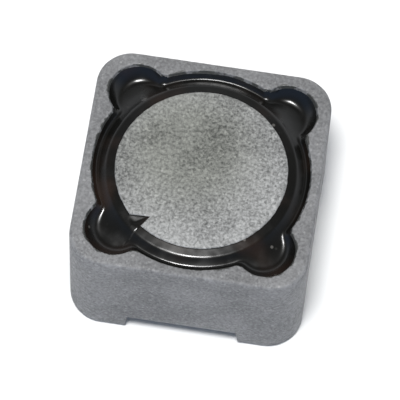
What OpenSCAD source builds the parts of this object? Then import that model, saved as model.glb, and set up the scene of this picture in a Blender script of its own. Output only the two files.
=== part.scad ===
// Shielded surface-mount power inductor: a wound ferrite drum glued into a square ferrite ring.
// Millimetres. +Z is up and Z = 0 is the plane of the two solder lands, on the part's centre.

/* [Ring core] */
// Side of the square ring core
ring_w = 12; // [11.8:0.1:13]
// Height of the ring core, from its corner feet to its top face
ring_h = 7.1; // [6.3:0.1:9]
// Radius of the ring core's four upright corners
corner_r = 1.8; // [1.2:0.1:2.2]
// Thickness of the wall between the bore and the middle of each side
wall_t = 0.75; // [0.6:0.05:0.8]
// Diameter of the four corner pockets
pocket_d = 2.52; // [2.4:0.02:2.7]
// Thickness of the wall between each corner pocket and the two sides beside it
pocket_wall = 0.94; // [0.84:0.02:1.04]
// Width of the bevel around the mouth of the bore and of the pockets
mouth_bevel = 0.28; // [0.2:0.02:0.36]
// Height of that bevel
mouth_bevel_h = 0.6; // [0.5:0.05:0.8]
// Width of the bevel along the outer top edge
edge_bevel = 0.14; // [0.05:0.01:0.3]
// Play between the recess in the underside of each side and either edge of a tongue
recess_play = 0.35; // [0.2:0.05:0.6]
// Height of the recesses, above the corner feet
recess_h = 1; // [0.9:0.05:1.5]

/* [Drum core] */
// Gap between the upper flange and the bore, filled with the top adhesive
top_gap = 0.88; // [0.66:0.02:1]
// Gap between the lower flange and the bore
base_gap = 0.37; // [0.3:0.01:0.5]
// Thickness of each flange
flange_t = 1.1; // [0.8:0.1:1.4]
// How far the upper flange reaches past the post that carries the winding
flange_reach = 1.97; // [1.7:0.01:2.4]
// Width of the bevel on the edges of the flanges' outer faces
flange_bevel = 0.1; // [0.05:0.01:0.2]
// How far the drum's top lies below the ring core's top face
drum_drop = 0.03; // [0:0.01:0.15]
// Direction of the inner end of the notch in the upper flange, in degrees
notch_at = 234; // [200:1:250]
// Depth of that notch, in from the flange's edge
notch_depth = 0.68; // [0.4:0.02:1]
// Direction in which the notch opens, in degrees
notch_opens = 209; // [200:1:230]
// Angle between the notch's two sides
notch_angle = 54; // [35:1:70]

/* [Winding] */
// Diameter of the enamelled wire
wire_d = 0.5; // [0.4:0.02:0.5]
// Free height between the winding and each flange
winding_room = 0.1; // [0.05:0.05:0.4]
// Smallest step from the winding in to the edge of the upper flange
winding_inset = 0.15; // [0.05:0.05:0.5]

/* [Terminals] */
// Thickness of the terminal sheet
sheet_t = 0.2; // [0.15:0.01:0.25]
// Width of the channel between the two half-round plates
channel_w = 1.76; // [1.2:0.04:2.4]
// Play between the bore and the round corners of the half-round plates
plate_play = 0; // [0:0.01:0.1]
// How far in from the bore each plate's straight inner edge ends
plate_trim = 0.25; // [0.2:0.01:0.35]
// Width of the square bite in the middle of each plate's inner edge
bite_w = 1.7; // [1.2:0.1:2.4]
// Depth of that bite
bite_depth = 1.07; // [0.6:0.01:1.4]
// How far each plate's slanting lead edges stand out past the lower flange
lead_edge_over = 0.01; // [0:0.01:0.06]
// How far a lead edge reaches from its pocket's diagonal towards the channel, along X
lead_edge_in = 0.51; // [0.45:0.01:0.55]
// How far it reaches from the diagonal towards the fold, along X
lead_edge_out = 0.29; // [0.2:0.01:0.32]
// Distance of the side notches from the centre, outwards
side_notch_at = 1.9; // [1.7:0.05:2.1]
// Depth of the side notches, in from the ends of the plate
side_notch_depth = 0.55; // [0.3:0.05:0.8]
// Width of the side notches at their round inner end
side_notch_w = 0.26; // [0.2:0.02:0.4]
// How much each side notch widens outwards, for each unit of its depth
side_notch_flare = 0.8; // [0:0.1:1.2]
// Width of the tongue that reaches under the ring core
tongue_w = 5; // [4.6:0.1:5.2]
// Step from a lead edge's outer tip out to the fold between plate and land
fold_step = 0.15; // [0.05:0.05:0.3]
// Step from the fold in to the root of the tongue
tongue_root = 0.3; // [0.2:0.05:0.4]
// Length of the relief notches beside the tongue's root, inwards
root_notch_l = 0.18; // [0.1:0.02:0.3]
// Step from the tongue's side to the inner end of those notches
root_notch_w = 0.2; // [0.1:0.05:0.4]
// Step from the ring core's side in to the outer face of the turned-up end
lip_inset = 0.28; // [0.2:0.02:0.4]
// Height of the plate's underside above the land's
plate_lift = 0.35; // [0.25:0.05:0.45]
// Length of the fold between plate and land, outwards
fold_l = 0.2; // [0.1:0.05:0.3]
// Outer radius of the bend at the turned-up end
bend_r = 0.32; // [0.26:0.02:0.5]
// Clearance between the turned-up end and the top of the recess over it
lip_gap = 0.07; // [0.05:0.01:0.4]
// Length of the land's hole, outwards
hole_l = 0.8; // [0.4:0.05:0.85]
// Width of the land's hole
hole_w = 1; // [0.5:0.1:1.4]
// Step from the bend in to the hole
hole_inset = 0; // [0:0.02:0.2]

/* [Assembly] */
// How far the solder lands stand below the ring core's feet
land_drop = 0.15; // [0.05:0.05:0.2]
// Thickness of the adhesive film between terminal and drum
bond_t = 0.05; // [0.02:0.01:0.1]
// Step in from the lower flange's edge to the film
bond_inset = 0.3; // [0.2:0.05:0.6]
// Depth of the top adhesive, below the ring core's top face
fill_h = 1.5; // [1.3:0.05:1.6]
// Step from the drum's top face down to the edges of the top adhesive
fill_drop = 0.05; // [0.02:0.01:0.15]
// Width of the nearly level shelf that the adhesive forms around the upper flange
shelf_w = 0.42; // [0.3:0.02:0.6]
// How far that shelf falls, outwards
shelf_fall = 0.08; // [0.04:0.01:0.15]
// How far the adhesive is drawn down past the shelf, far away from it
shelf_dip = 0.78; // [0.5:0.02:0.9]
// Distance over which it is drawn down there
shelf_reach = 1.05; // [0.8:0.05:1.5]
// How far the adhesive is drawn down from the wall of the ring core, far away from it
wall_dip = 0.94; // [0.6:0.02:1]
// Distance over which it is drawn down there
wall_reach = 0.58; // [0.45:0.01:0.8]
// Radius of the solder on the wire ends
solder_r = 0.33; // [0.3:0.01:0.36]

/* [Hidden] */

// Small overlap that keeps a cut clear of the face that it passes through
cut = 1;
// Height by which the bevels around the mouth run past the top face
feather = 0.02;
// Straight steps in each profile of the adhesive's surface
draw_steps = 5;
// Clearance between a wire end and what it passes or is soldered to
wire_gap = 0.03;
// Straight steps along each stretch of a wire end, and sides of its section
run_steps = 3;
run_sides = 12;

// Heights, from the solder lands up
feet_z = land_drop;
ring_top = feet_z + ring_h;
recess_top = feet_z + recess_h;
plate_z = plate_lift;
bond_z = plate_z + sheet_t;
drum_z = bond_z + bond_t;
drum_top = ring_top - drum_drop;
window_z = drum_z + flange_t;
window_h = drum_top - flange_t - window_z;
lip_top = recess_top - lip_gap;

// Radii, and the corner pockets' distance from the centre
bore_r = ring_w / 2 - wall_t;
pocket_r = pocket_d / 2;
pocket_dist = (ring_w / 2 - pocket_wall - pocket_r) * sqrt(2);
top_r = bore_r - top_gap;
base_r = bore_r - base_gap;
post_r = top_r - flange_reach;
wire_r = wire_d / 2;

// The terminals' lines, outwards from the centre, and the recesses that their tongues pass
plate_r = bore_r - plate_play;
plate_end = bore_r - plate_trim;
lead_edge_at = base_r + lead_edge_over;
lead_edge_mid = lead_edge_at / sqrt(2);
lead_tip_at = lead_edge_mid + lead_edge_out;
land_from = lead_tip_at + fold_step;
tongue_from = land_from - tongue_root;
land_to = ring_w / 2 - lip_inset;
bend_at = land_to - bend_r;
recess_w = tongue_w + 2 * recess_play;

// Turns in a layer, layers that fit under the upper flange, and where they lie
turns = floor((window_h - 2 * winding_room) / wire_d);
layer_step = wire_d * cos(30);
layers = 1 + floor((top_r - winding_inset - post_r - wire_d) / layer_step);
outer_layer_r = post_r + wire_r + (layers - 1) * layer_step;
first_turn_z = window_z + (window_h - turns * wire_d) / 2 + wire_r;

// Directions of the corner pockets, and of those where a wire end comes down, in degrees
POCKETS = [for (k = [0 : 3]) 45 + 90 * k];
LEAD_RIGHT = POCKETS[0];
LEAD_LEFT = POCKETS[2];

// A wire end, seen from its pocket's direction: X outwards, Y across. It leaves the lowest outer
// turn in a straight line, clears the lower flange's edge, comes down across the pocket, and turns
// back to lie along the terminal's slanting edge.
// How far a wire end has turned past the straight line to the flange's edge, in degrees
leave_angle = 4;
// The straight steps in which it leaves the winding
leave_step = 1.2;
// Its way down: below the lower flange's top, then above its underside, and how far it goes across
drop_from = 0.4;
drop_to = 0.35;
across = 0.6;
// The turn back onto the terminal: above the joint, and the step across before and after it
turn_h = 0.12;
turn_from = 0.1;
turn_to = 0.38;
// The last stretch: how far its end lies past the diagonal, and how long it lies straight
tail = 0.55;
tail_l = 0.4;
drop_x = base_r + wire_r + 4 * wire_gap;
joint_x = lead_edge_at + wire_r + wire_gap;
joint_z = plate_z + sheet_t / 2;
leave_z = first_turn_z + wire_r;
over_z = window_z + wire_r + 2 * wire_gap;
leave_at = acos(outer_layer_r / drop_x) + leave_angle;
leave = outer_layer_r * [cos(leave_at), -sin(leave_at)];
along = leave_step * [sin(leave_at), cos(leave_at)];
LEAD_POINTS = [
    [leave.x, leave.y, leave_z],
    [leave.x + along.x, leave.y + along.y, leave_z],
    [leave.x + 2 * along.x, leave.y + 2 * along.y, (leave_z + over_z) / 2],
    [drop_x, 0, over_z],
    [drop_x, 2 * across / 3, window_z - drop_from],
    [drop_x, across, drum_z + drop_to],
    [joint_x, across - turn_from, joint_z + turn_h],
    [joint_x, across - turn_to, joint_z],
    [joint_x, tail_l - tail, joint_z],
    [joint_x, -tail, joint_z]
];
// Where the solder's two rounds lie, in from the wire's end, and its play around the wire
solder_in = 0.1;
solder_l = 0.25;
solder_play = 0.01;
SOLDER_AT = [solder_in - tail, solder_in + solder_l - tail];

// A point on the smooth curve through p1 and p2, whose neighbours are p0 and p3
function blend(p0, p1, p2, p3, t) =
    0.5 * (2 * p1 + (p2 - p0) * t + (2 * p0 - 5 * p1 + 4 * p2 - p3) * t * t
        + (3 * p1 - p0 - 3 * p2 + p3) * t * t * t);
// The point numbered i of a list, or its first or last one where i runs past an end
function at(list, i) = list[max(0, min(len(list) - 1, i))];
// A smooth run of points through a list of points
function smooth(list, steps) = [
    for (i = [0 : len(list) - 2]) for (k = [0 : steps - 1])
        blend(at(list, i - 1), at(list, i), at(list, i + 1), at(list, i + 2), k / steps),
    at(list, len(list) - 1)
];
function unit(v) = v / norm(v);
function heading(path, i) = unit(at(path, i + 1) - at(path, i - 1));
// A direction square to each point's heading, carried along so that the tube doesn't twist
function sides_of(path, i = 0, last = [0, 0, 1]) =
    let (h = heading(path, i), side = unit(last - (last * h) * h))
    i == len(path) - 1 ? [side] : concat([side], sides_of(path, i + 1, side));

// A round tube of radius r along a path
module tube(path, r, sides) {
    side = sides_of(path);
    rings = [
        for (i = [0 : len(path) - 1])
            let (a = side[i], b = cross(heading(path, i), a))
            for (k = [0 : sides - 1])
                path[i] + r * (cos(360 * k / sides) * a + sin(360 * k / sides) * b)
    ];
    last = (len(path) - 1) * sides;
    walls = [
        for (i = [0 : len(path) - 2]) for (k = [0 : sides - 1])
            let (n = (k + 1) % sides)
            [i * sides + k, (i + 1) * sides + k, (i + 1) * sides + n, i * sides + n]
    ];
    ends = [
        [for (k = [0 : sides - 1]) k],
        [for (k = [sides - 1 : -1 : 0]) last + k]
    ];
    polyhedron(points = rings, faces = concat(walls, ends), convexity = 4);
}

// The bore and the corner pockets together, seen from above
module mouth_outline() {
    circle(r = bore_r, $fn = 128);
    for (a = POCKETS) rotate(a) translate([pocket_dist, 0]) circle(r = pocket_r, $fn = 64);
}

// The space inside the ring core, with its bevelled mouth
module mouth_space(from_z) {
    translate([0, 0, from_z]) linear_extrude(ring_top + cut - from_z) mouth_outline();
    translate([0, 0, ring_top - mouth_bevel_h]) {
        bevel_cone(bore_r, 128);
        for (a = POCKETS) rotate(a) translate([pocket_dist, 0, 0]) bevel_cone(pocket_r, 64);
    }
}

// The widening of one round mouth of radius r, a little past the top face
module bevel_cone(r, facets) {
    h = mouth_bevel_h + feather;
    cylinder(h = h, r1 = r, r2 = r + mouth_bevel * h / mouth_bevel_h, $fn = facets);
}

// A square with rounded corners, bevelled along its top edge
module ring_block() {
    inner = ring_w / 2 - corner_r;
    straight_h = ring_h - edge_bevel;
    for (x = [-inner, inner]) for (y = [-inner, inner]) translate([x, y, feet_z]) {
        cylinder(h = straight_h, r = corner_r, $fn = 96);
        translate([0, 0, straight_h])
            cylinder(h = edge_bevel, r1 = corner_r, r2 = corner_r - edge_bevel, $fn = 96);
    }
    for (a = [0, 90]) rotate(a) translate([0, inner, feet_z]) rotate([90, 0, 0])
        linear_extrude(2 * inner) polygon([
            [-ring_w / 2, 0], [ring_w / 2, 0], [ring_w / 2, straight_h],
            [ring_w / 2 - edge_bevel, ring_h], [edge_bevel - ring_w / 2, ring_h],
            [-ring_w / 2, straight_h]
        ]);
}

module ring_core() {
    color([0.42, 0.42, 0.43]) difference() {
        ring_block();
        mouth_space(feet_z - cut);
        for (a = [0, 90]) rotate(a)
            translate([-ring_w / 2 - cut, -recess_w / 2, feet_z - cut])
                cube([ring_w + 2 * cut, recess_w, recess_h + cut]);
    }
}

// The wedge that is notched out of the upper flange's edge, from a height up
module notch(from_z, h) {
    reach = notch_depth + top_gap;
    half_w = reach * tan(notch_angle / 2);
    translate([0, 0, from_z]) linear_extrude(h)
        translate((top_r - notch_depth) * [cos(notch_at), sin(notch_at)])
            rotate(notch_opens) polygon([[0, 0], [reach, -half_w], [reach, half_w]]);
}

module drum_core() {
    color([0.5, 0.5, 0.49]) difference() {
        rotate_extrude($fn = 128) polygon([
            [0, drum_z], [base_r - flange_bevel, drum_z], [base_r, drum_z + flange_bevel],
            [base_r, window_z], [post_r, window_z],
            [post_r, drum_top - flange_t], [top_r, drum_top - flange_t],
            [top_r, drum_top - flange_bevel], [top_r - flange_bevel, drum_top], [0, drum_top]
        ]);
        notch(drum_top - flange_t - cut, flange_t + 2 * cut);
    }
}

// One wire end, from the lowest outer turn down to a terminal
module wire_end(toward, r) {
    rotate(toward) tube(smooth(LEAD_POINTS, run_steps), r, run_sides);
}

module winding() {
    color([0.42, 0.16, 0.08]) {
        rotate_extrude($fn = 96) {
            translate([post_r, first_turn_z - wire_r])
                square([outer_layer_r - post_r, turns * wire_d]);
            for (i = [0 : turns - 1])
                translate([outer_layer_r, first_turn_z + i * wire_d]) circle(r = wire_r, $fn = 24);
        }
        wire_end(LEAD_LEFT, wire_r);
        wire_end(LEAD_RIGHT, wire_r);
    }
}

// The flat outline of a plate with the root of its tongue, up to the fold, for the terminal at +X
module plate_outline() {
    inner = channel_w / 2;
    side = tongue_w / 2;
    edge_from = lead_edge_mid - lead_edge_in;
    edge_tip = [lead_tip_at, lead_edge_mid - lead_edge_out];
    root_from = tongue_from - root_notch_l;
    difference() {
        intersection() {
            circle(r = plate_r, $fn = 128);
            translate([inner, -plate_end]) square([land_from - inner, 2 * plate_end]);
        }
        translate([inner - cut, -bite_w / 2]) square([bite_depth + cut, bite_w]);
        for (m = [0, 1]) mirror([0, m]) {
            side_notch();
            // The slanting edge that a wire end is soldered to
            polygon([[edge_from, lead_edge_mid + lead_edge_in], edge_tip,
                [lead_tip_at, ring_w], [edge_from, ring_w]]);
            // The relief notch at the root of the tongue
            polygon([edge_tip, [root_from, side + root_notch_w], [tongue_from, side],
                [ring_w, side], [ring_w, ring_w], [lead_tip_at, ring_w]]);
        }
    }
}

// A notch in the end of a plate, round inside and wider towards the end
module side_notch() {
    r = side_notch_w / 2;
    reach = side_notch_depth + cut;
    translate([side_notch_at, plate_end - side_notch_depth]) {
        circle(r = r, $fn = 24);
        polygon([[-r, 0], [-r, reach], [r + side_notch_flare * reach, reach], [r, 0]]);
    }
}

// The section of a tongue, land and turned-up end, outwards and upwards
module tongue_section() {
    fold_to = land_from + fold_l;
    miter = sheet_t * tan(atan2(plate_z, fold_l) / 2);
    polygon([
        [tongue_from, plate_z], [land_from, plate_z], [fold_to, 0], [bend_at, 0],
        [bend_at, sheet_t], [fold_to + miter, sheet_t], [land_from + miter, bond_z],
        [tongue_from, bond_z]
    ]);
    intersection() {
        translate([bend_at, bend_r]) difference() {
            circle(r = bend_r, $fn = 64);
            circle(r = bend_r - sheet_t, $fn = 64);
        }
        translate([bend_at, 0]) square(bend_r);
    }
    translate([land_to - sheet_t, bend_r]) square([sheet_t, lip_top - bend_r]);
}

// The terminal at +X
module terminal() {
    color([0.9, 0.88, 0.78]) {
        translate([0, 0, plate_z]) linear_extrude(sheet_t) plate_outline();
        difference() {
            translate([0, tongue_w / 2, 0]) rotate([90, 0, 0])
                linear_extrude(tongue_w) tongue_section();
            translate([bend_at - hole_inset - hole_l, -hole_w / 2, -cut])
                cube([hole_l, hole_w, 2 * cut]);
        }
    }
}

// The adhesive film over the terminal at +X
module bond() {
    color([0.16, 0.15, 0.13]) translate([0, 0, bond_z]) linear_extrude(bond_t) intersection() {
        plate_outline();
        circle(r = base_r - bond_inset, $fn = 128);
    }
}

// The solder that joins a wire end to the slanting edge of its terminal
module solder(toward, terminal_turn) {
    color([0.75, 0.75, 0.74]) difference() {
        rotate(toward) for (y = SOLDER_AT)
            translate([joint_x - wire_r / 2, y, joint_z]) sphere(r = solder_r, $fn = 48);
        rotate(toward) translate([joint_x, SOLDER_AT[1] - cut, joint_z])
            rotate([-90, 0, 0]) cylinder(h = 2 * cut, r = wire_r + solder_play, $fn = 48);
        rotate(terminal_turn) translate([0, 0, plate_z]) linear_extrude(sheet_t) plate_outline();
        translate([0, 0, bond_z]) cylinder(h = cut, r = base_r + wire_gap, $fn = 128);
    }
}

// How far the adhesive is drawn down at a distance from its edge, for a greatest depth and a reach
function drawn(distance, dip, reach) = dip * (1 - exp(-distance / reach));
// The distances at which its profiles bend, closer together near the edge
function draw_at(k, farthest) = farthest * pow(k / draw_steps, 1.5);

// The space above the adhesive as it is drawn down from a round wall of radius r
module drawn_from_wall(r, farthest) {
    rotate_extrude($fn = 128) polygon([
        [r - farthest, cut], [r, cut],
        for (k = [0 : draw_steps]) let (d = draw_at(k, farthest))
            [r - d, -drawn(d, wall_dip, wall_reach)]
    ]);
}

// The space above the adhesive as it is drawn down from the upper flange, past its shelf
module drawn_from_flange() {
    farthest = pocket_dist + pocket_r + mouth_bevel - top_r - shelf_w;
    shelf_end = top_r + shelf_w;
    rotate_extrude($fn = 128) polygon([
        [shelf_end + farthest, cut], [top_r, cut], [top_r, 0],
        for (k = [0 : draw_steps]) let (d = draw_at(k, farthest))
            [shelf_end + d, -shelf_fall - drawn(d, shelf_dip, shelf_reach)]
    ]);
}

// The adhesive between drum and ring core, drawn down between them, with the notch part filled
module top_adhesive() {
    fill_from = ring_top - fill_h;
    fill_top = drum_top - fill_drop;
    pocket_mouth_r = pocket_r + mouth_bevel;
    color([0.08, 0.08, 0.07]) difference() {
        intersection() {
            mouth_space(fill_from);
            translate([0, 0, fill_from]) cylinder(h = fill_top - fill_from, r = ring_w, $fn = 64);
        }
        difference() {
            translate([0, 0, fill_from - cut])
                cylinder(h = fill_h + 2 * cut, r = top_r, $fn = 128);
            notch(drum_top - flange_t, flange_t);
        }
        translate([0, 0, fill_top]) intersection() {
            drawn_from_flange();
            union() {
                drawn_from_wall(bore_r + mouth_bevel, top_gap + mouth_bevel + feather);
                for (a = POCKETS) rotate(a) translate([pocket_dist, 0, 0])
                    drawn_from_wall(pocket_mouth_r, pocket_mouth_r);
            }
        }
    }
}

ring_core();
drum_core();
winding();
rotate(180) terminal();  // terminal_left
terminal();  // terminal_right
rotate(180) bond();  // bond_left
bond();  // bond_right
solder(LEAD_LEFT, 180);  // solder_left
solder(LEAD_RIGHT, 0);  // solder_right
top_adhesive();
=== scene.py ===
"""The looks of a shielded surface-mount power inductor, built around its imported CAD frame.

Meshes are worked out in millimetres and stored in metres. +Z is up and Z = 0 is the plane of
the two solder lands.
"""
import logging
import math
from collections.abc import Callable, Iterable, Sequence
from dataclasses import dataclass, field
from enum import Enum

import bmesh
import bpy
from mathutils import Matrix, Vector, noise


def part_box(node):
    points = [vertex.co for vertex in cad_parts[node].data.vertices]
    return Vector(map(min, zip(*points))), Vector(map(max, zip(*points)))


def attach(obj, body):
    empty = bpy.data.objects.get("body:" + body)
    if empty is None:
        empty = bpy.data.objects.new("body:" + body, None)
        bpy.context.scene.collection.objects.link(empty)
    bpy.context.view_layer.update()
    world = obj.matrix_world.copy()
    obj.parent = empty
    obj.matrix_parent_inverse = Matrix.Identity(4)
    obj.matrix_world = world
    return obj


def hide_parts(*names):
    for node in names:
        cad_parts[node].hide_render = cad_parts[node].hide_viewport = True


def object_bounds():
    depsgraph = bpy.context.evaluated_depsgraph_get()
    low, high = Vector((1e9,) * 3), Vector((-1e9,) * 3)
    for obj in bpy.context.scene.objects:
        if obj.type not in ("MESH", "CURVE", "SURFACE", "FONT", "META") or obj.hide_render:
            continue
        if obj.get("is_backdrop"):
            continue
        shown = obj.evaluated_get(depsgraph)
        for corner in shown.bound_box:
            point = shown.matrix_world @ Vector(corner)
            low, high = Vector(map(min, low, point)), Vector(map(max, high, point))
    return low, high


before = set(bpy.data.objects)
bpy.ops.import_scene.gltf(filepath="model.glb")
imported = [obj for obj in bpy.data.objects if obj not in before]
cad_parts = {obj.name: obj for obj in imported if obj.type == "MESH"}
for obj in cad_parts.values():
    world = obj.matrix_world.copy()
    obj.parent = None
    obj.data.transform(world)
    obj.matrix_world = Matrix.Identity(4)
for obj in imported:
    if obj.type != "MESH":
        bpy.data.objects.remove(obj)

log = logging.getLogger("inductor")

MM = 0.001
BODY = "root"
FLOOR_RINGS = (20.0, 60.0, 160.0, 400.0, 900.0)

Colour = tuple[float, float, float]
Flat = tuple[float, float]


# ---------------------------------------------------------------- shape helpers


def span(node: str) -> tuple[Vector, Vector]:
    """The lowest and highest corner of a CAD node, in millimetres.

    Args:
        node: The node's name.

    Returns:
        Both corners.
    """
    low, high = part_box(node)
    return low / MM, high / MM


def polar(radius: float, degrees: float) -> Flat:
    """The flat point at a radius and a direction in degrees."""
    return radius * math.cos(math.radians(degrees)), radius * math.sin(math.radians(degrees))


def mix(a: float, b: float, share: float) -> float:
    """The value that lies a share of the way from a to b."""
    return a + (b - a) * share


def ease(share: float) -> float:
    """A share from 0 to 1, eased at both ends."""
    share = min(1.0, max(0.0, share))
    return share * share * (3 - 2 * share)


def smooth_min(a: float, b: float, reach: float) -> float:
    """The smaller of two values, rounded where they differ by less than reach."""
    near = max(reach - abs(a - b), 0.0) / reach
    return min(a, b) - near * near * reach / 4


def crossing(low: float, high: float, halvings: int, past: Callable[[float], bool]) -> float:
    """Where a test starts to hold between two values, found by halving.

    Args:
        low: A value for which the test doesn't hold.
        high: A value for which it does.
        halvings: How often the stretch is halved.
        past: The test.

    Returns:
        The middle of the last stretch.
    """
    for _ in range(halvings):
        middle = (low + high) / 2
        if past(middle):
            high = middle
        else:
            low = middle
    return (low + high) / 2


def quarter_turn(steps: int) -> list[Flat]:
    """Cosines and sines from 0 to 90 degrees.

    Args:
        steps: How many steps the turn has.

    Returns:
        One pair for each end of a step.
    """
    turns = [math.pi / 2 * i / steps for i in range(steps + 1)]
    return [(math.cos(turn), math.sin(turn)) for turn in turns]


def walk(path: Sequence[Flat], count: int) -> list[Flat]:
    """Points at even distances along a flat path.

    Args:
        path: The path's corners.
        count: How many points to place. The path's last point isn't one of them.

    Returns:
        The placed points, from the path's first point on.
    """
    lengths = [0.0]
    for a, b in zip(path, path[1:]):
        lengths.append(lengths[-1] + math.dist(a, b))
    placed, leg = [], 0
    for i in range(count):
        wanted = lengths[-1] * i / count
        while leg < len(path) - 2 and lengths[leg + 1] < wanted:
            leg += 1
        share = (wanted - lengths[leg]) / max(lengths[leg + 1] - lengths[leg], 1e-9)
        a, b = path[leg], path[leg + 1]
        placed.append((mix(a[0], b[0], share), mix(a[1], b[1], share)))
    return placed


def curve_through(points: Sequence[Vector], steps: int) -> list[Vector]:
    """A smooth run of points through a list of points.

    Args:
        points: The points that the curve passes.
        steps: How many steps it takes from one to the next.

    Returns:
        The points along the curve.
    """
    run = []
    last = len(points) - 1
    for i in range(last):
        before, start = points[max(i - 1, 0)], points[i]
        end, after = points[i + 1], points[min(i + 2, last)]
        for k in range(steps):
            t = k / steps
            run.append(0.5 * (
                2 * start + (end - before) * t
                + (2 * before - 5 * start + 4 * end - after) * t * t
                + (3 * start - before - 3 * end + after) * t ** 3
            ))
    run.append(points[last])
    return run


def offset(outline: Sequence[Flat], inwards: float) -> list[Flat]:
    """A closed outline, drawn counter-clockwise, moved square to its own line.

    Args:
        outline: The outline's points.
        inwards: How far the line moves in, or out where it is below 0.

    Returns:
        As many points, with the corners kept mitred.
    """
    moved = []
    count = len(outline)
    for i, here in enumerate(outline):
        before, after = Vector(outline[i - 1]), Vector(outline[(i + 1) % count])
        first = (Vector(here) - before).normalized()
        second = (after - Vector(here)).normalized()
        normals = Vector((-first.y, first.x)), Vector((-second.y, second.x))
        middle = (normals[0] + normals[1]).normalized()
        reach = inwards / max(middle.dot(normals[0]), 0.4)
        moved.append((here[0] + middle.x * reach, here[1] + middle.y * reach))
    return moved


def at_height(outline: Iterable[Flat], z: float) -> list[Vector]:
    """An outline's points, all at one height."""
    return [Vector((x, y, z)) for x, y in outline]


class Shell:
    """A mesh in the making: points in millimetres, their marks, and the faces over them."""

    def __init__(self) -> None:
        """Starts with no points and no faces."""
        self.points: list[Vector] = []
        self.marks: dict[str, list[float]] = {"wear": [], "smear": []}
        self.faces: list[tuple[int, ...]] = []

    def loop(self, points: Iterable[Vector], wear: float = 0.0,
             smear: float = 0.0) -> list[int]:
        """Adds a loop of points.

        Args:
            points: The loop's points.
            wear: How worn they are, from 0 to 1.
            smear: How far adhesive has crept onto them, from 0 to 1.

        Returns:
            Their numbers.
        """
        start = len(self.points)
        self.points.extend(points)
        count = len(self.points) - start
        self.marks["wear"] += [wear] * count
        self.marks["smear"] += [smear] * count
        return list(range(start, len(self.points)))

    def bridge(self, first: Sequence[int], second: Sequence[int], closed: bool = True) -> None:
        """Adds the faces between two loops of as many points.

        Args:
            first: One loop's numbers.
            second: The other's.
            closed: Whether the loops' ends meet.
        """
        count = len(first)
        for i in range(count if closed else count - 1):
            j = (i + 1) % count
            self.faces.append((first[i], first[j], second[j], second[i]))

    def skin(self, loops: Sequence[Sequence[int]], round_trip: bool = False) -> None:
        """Bridges each loop to the next one.

        Args:
            loops: The loops' numbers, in order.
            round_trip: Whether the last loop is bridged to the first.
        """
        for first, second in zip(loops, loops[1:]):
            self.bridge(first, second)
        if round_trip:
            self.bridge(loops[-1], loops[0])

    def fan(self, loop: Sequence[int], centre: Vector) -> None:
        """Closes a loop with a fan of faces around a centre."""
        middle = self.loop([centre])[0]
        for i, number in enumerate(loop):
            self.faces.append((number, loop[(i + 1) % len(loop)], middle))

    def piece(self, name: str, node: str, slot: str) -> bpy.types.Object:
        """Makes the object that stands for a CAD node.

        Args:
            name: The object's name.
            node: The CAD node that it replaces.
            slot: A material slot's name; not used.

        Returns:
            The new object, riding on the part's body.
        """
        mesh = bpy.data.meshes.new(name)
        mesh.from_pydata([point * MM for point in self.points], [], self.faces)
        for mark, values in self.marks.items():
            mesh.attributes.new(mark, "FLOAT", "POINT").data.foreach_set("value", values)
        tool = bmesh.new()
        tool.from_mesh(mesh)
        bmesh.ops.remove_doubles(tool, verts=tool.verts, dist=1e-4 * MM)
        bmesh.ops.recalc_face_normals(tool, faces=tool.faces)
        tool.to_mesh(mesh)
        tool.free()
        mesh.polygons.foreach_set("use_smooth", [True] * len(mesh.polygons))
        piece = bpy.data.objects.new(name, mesh)
        bpy.context.scene.collection.objects.link(piece)
        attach(piece, BODY)
        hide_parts(node)
        log.info("%s: %d faces, stands for %s", name, len(mesh.polygons), node)
        return piece


# ---------------------------------------------------------------- the ring core


@dataclass(frozen=True)
class Mouth:
    """The round bore with its four corner pockets, seen from above."""

    bore_r: float = 5.25
    pocket_at: float = 3.8
    pocket_r: float = 1.26
    cusp_r: float = 0.26
    bevel: float = 0.28
    search_step: float = 0.04
    octant_steps: int = 180

    def distance(self, x: float, y: float) -> float:
        """How far a point lies outside the mouth, or below 0 inside it."""
        pocket = math.hypot(abs(x) - self.pocket_at, abs(y) - self.pocket_at) - self.pocket_r
        return smooth_min(math.hypot(x, y) - self.bore_r, pocket, self.cusp_r)

    def radius(self, degrees: float, level: float) -> float:
        """How far from the centre the mouth's line lies.

        Args:
            degrees: The direction looked in.
            level: How far outside the mouth the line runs.

        Returns:
            The radius of the outermost crossing.
        """
        def outside(reach: float) -> bool:
            """Whether the point at a radius lies outside the line."""
            return self.distance(*polar(reach, degrees)) > level

        low = self.bore_r - 0.4
        reach = self.pocket_at * math.sqrt(2) + self.pocket_r + level + 0.3
        while reach > low and outside(reach):
            reach -= self.search_step
        return crossing(reach, reach + self.search_step, 12, outside)

    def octant(self, level: float) -> list[Flat]:
        """The line around an eighth of the mouth, from +X to the first pocket's diagonal."""
        turns = [45 * i / self.octant_steps for i in range(self.octant_steps + 1)]
        return [polar(self.radius(turn, level), turn) for turn in turns]


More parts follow.
